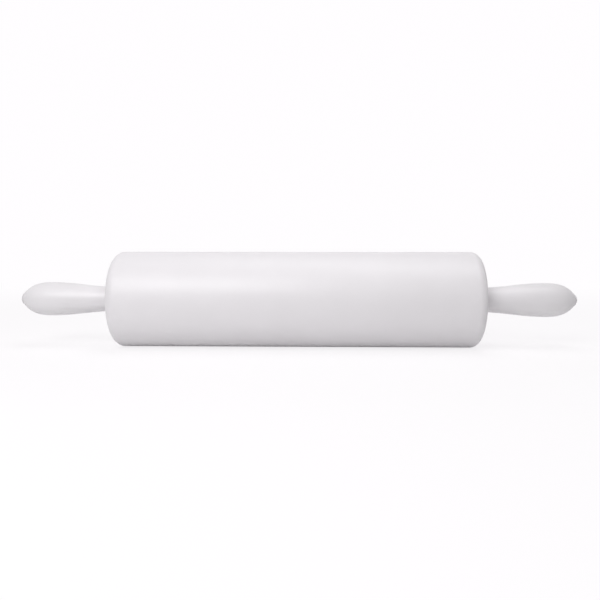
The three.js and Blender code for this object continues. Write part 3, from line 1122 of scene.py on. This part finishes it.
class ROLLINGPIN_OT_set_stage(Operator):
    """Set the pale floor, the soft lamps and the camera"""

    bl_idname = "rolling_pin.set_stage"
    bl_label = "Set Stage"

    def execute(self, context):
        stage = context.scene.rolling_pin.stage
        context.scene.view_settings.view_transform = "Standard"
        make_floor(stage)
        light_sky(stage)
        soft_box("key_box", stage, stage.key_power, stage.key_place, stage.key_elevation)
        soft_box("top_box", stage, stage.top_power, stage.top_place, stage.top_elevation)
        soft_box("back_box", stage, stage.back_power, stage.back_place, stage.back_elevation)
        fill_box("rear_fill", stage, stage.rear_power, 0.0, stage.rear_elevation)
        for side, way in (("left", -1), ("right", 1)):
            place, azimuth = way * stage.end_place, way * stage.end_azimuth
            fill_box(f"{side}_fill", stage, stage.end_power, place, stage.end_elevation, azimuth)
        context.scene.camera = make_camera(stage)
        return {"FINISHED"}


def make_floor(stage):
    """A wide flat floor under the pin."""
    bm = bmesh.new()
    bmesh.ops.create_grid(bm, x_segments=1, y_segments=1, size=FLOOR_SIDE / 2)
    floor = object_from("floor", bm)
    floor.data.materials.append(pale_floor(stage))


def pale_floor(stage):
    """A pale paint that looks white to the camera, apart from the shadow near the pin."""
    paint = Finish("pale_floor")
    paint.tree.nodes.remove(paint.shader)
    plain = paint.node("ShaderNodeBsdfDiffuse", {"Color": shade(stage.floor, 1.0)})
    backdrop = shade(stage.backdrop, 1.0)
    shadowed = paint.node("ShaderNodeBsdfDiffuse", {"Color": shade(stage.backdrop, stage.floor_shadow)})
    glow = paint.node("ShaderNodeEmission", {"Color": backdrop, "Strength": 1.0 - stage.floor_shadow})
    near = paint.node("ShaderNodeAddShader", {0: shadowed.outputs[0], 1: glow.outputs[0]})
    white = paint.node("ShaderNodeEmission", {"Color": backdrop})
    away = paint.node("ShaderNodeVectorMath", {0: paint.place}, operation="LENGTH").outputs["Value"]
    fade = paint.node(
        "ShaderNodeMapRange",
        {"Value": away, "From Min": stage.shadow_start, "From Max": stage.shadow_reach},
        interpolation_type="SMOOTHSTEP",
    )
    bright = paint.node(
        "ShaderNodeMixShader", {0: fade.outputs["Result"], 1: near.outputs[0], 2: white.outputs[0]}
    )
    both = paint.node(
        "ShaderNodeMixShader", {0: paint.seen_directly(), 1: plain.outputs[0], 2: bright.outputs[0]}
    )
    paint.feed(paint.tree.nodes["Material Output"].inputs["Surface"], both.outputs[0])
    return paint.material


def light_sky(stage):
    """Even light from all round, which looks white where the camera sees it."""
    world = bpy.data.worlds.new("studio")
    bpy.context.scene.world = world
    sky = NodeTree(world)
    strength = sky.node(
        "ShaderNodeMapRange", {"Value": sky.seen_directly(), "To Min": stage.sky, "To Max": 1.0}
    )
    background = sky.tree.nodes["Background"]
    sky.feed(background.inputs["Color"], shade(stage.backdrop, 1.0))
    sky.feed(background.inputs["Strength"], strength.outputs["Result"])


def facing_out(azimuth, elevation):
    """Direction away from the axle, with azimuth 0 in front and angles in radians."""
    flat = math.cos(elevation)
    return Vector((flat * math.sin(azimuth), -flat * math.cos(azimuth), math.sin(elevation)))


def placed(name, data, place, direction):
    """A lamp or camera at a place, looking back along a direction."""
    turn = direction.to_track_quat("Z", "Y").to_matrix().to_4x4()
    made = bpy.data.objects.new(name, data)
    made.matrix_world = Matrix.Translation(place) @ turn
    bpy.context.scene.collection.objects.link(made)
    return made


def soft_box(name, stage, watts, place, elevation, azimuth=0.0):
    """A square lamp that faces one place on the axle."""
    lamp = bpy.data.lights.new(name, "AREA")
    lamp.energy = watts
    lamp.size = stage.box_side
    direction = facing_out(azimuth, elevation)
    aim = Vector((place, 0.0, AXIS_HEIGHT))
    return placed(name, lamp, aim + stage.box_distance * direction, direction)


def fill_box(name, stage, watts, place, elevation, azimuth=0.0):
    """A soft box for the sides turned from the camera, which leaves no gleam."""
    box = soft_box(name, stage, watts, place, elevation, azimuth)
    box.visible_glossy = False


def make_camera(stage):
    """A camera aimed near the roller's middle, at the photograph's angle."""
    camera = bpy.data.cameras.new("camera")
    camera.sensor_width = SENSOR_WIDTH
    camera.lens = SENSOR_WIDTH * stage.focal_pixels / IMAGE_SIDE
    aim = Vector((stage.aim_right, 0.0, AXIS_HEIGHT - stage.aim_drop))
    direction = facing_out(stage.azimuth, stage.elevation)
    return placed("camera", camera, aim + stage.distance * direction, direction)


# Add-on


class ROLLINGPIN_PT_pieces(Panel):
    """Lists the rolling pin's pieces and settings"""

    bl_idname = "ROLLINGPIN_PT_pieces"
    bl_label = "Rolling Pin"
    bl_space_type = "VIEW_3D"
    bl_region_type = "UI"
    bl_category = "Rolling Pin"

    def draw(self, context):
        for operator in OPERATORS:
            self.layout.operator(operator.bl_idname)
        settings = context.scene.rolling_pin
        for group in RollingPinSettings.__annotations__:
            box = self.layout.box()
            box.label(text=group.capitalize())
            for name in getattr(settings, group).__annotations__:
                box.prop(getattr(settings, group), name)


SETTINGS = (
    FitSettings,
    RollerSettings,
    HandleSettings,
    AxleSettings,
    BearingSettings,
    FinishSettings,
    StageSettings,
    RollingPinSettings,
)
OPERATORS = (
    ROLLINGPIN_OT_make_roller,
    ROLLINGPIN_OT_make_covers,
    ROLLINGPIN_OT_make_handles,
    ROLLINGPIN_OT_make_tip_plugs,
    ROLLINGPIN_OT_make_axle,
    ROLLINGPIN_OT_make_screws,
    ROLLINGPIN_OT_make_spacers,
    ROLLINGPIN_OT_make_circlips,
    ROLLINGPIN_OT_make_bearing_rings,
    ROLLINGPIN_OT_make_shields,
    ROLLINGPIN_OT_make_cages,
    ROLLINGPIN_OT_make_balls,
    ROLLINGPIN_OT_set_stage,
)
CLASSES = (*SETTINGS, *OPERATORS, ROLLINGPIN_PT_pieces)


def register():
    for cls in CLASSES:
        bpy.utils.register_class(cls)
    bpy.types.Scene.rolling_pin = PointerProperty(type=RollingPinSettings)


def unregister():
    del bpy.types.Scene.rolling_pin
    for cls in reversed(CLASSES):
        bpy.utils.unregister_class(cls)


def main():
    register()
    bpy.ops.rolling_pin.make_roller()
    bpy.ops.rolling_pin.make_covers()
    bpy.ops.rolling_pin.make_handles()
    bpy.ops.rolling_pin.make_tip_plugs()
    bpy.ops.rolling_pin.make_axle()
    bpy.ops.rolling_pin.make_screws()
    bpy.ops.rolling_pin.make_spacers()
    bpy.ops.rolling_pin.make_circlips()
    bpy.ops.rolling_pin.make_bearing_rings()
    bpy.ops.rolling_pin.make_shields()
    bpy.ops.rolling_pin.make_cages()
    bpy.ops.rolling_pin.make_balls()
    bpy.ops.rolling_pin.set_stage()


if __name__ == "__main__":
    main()
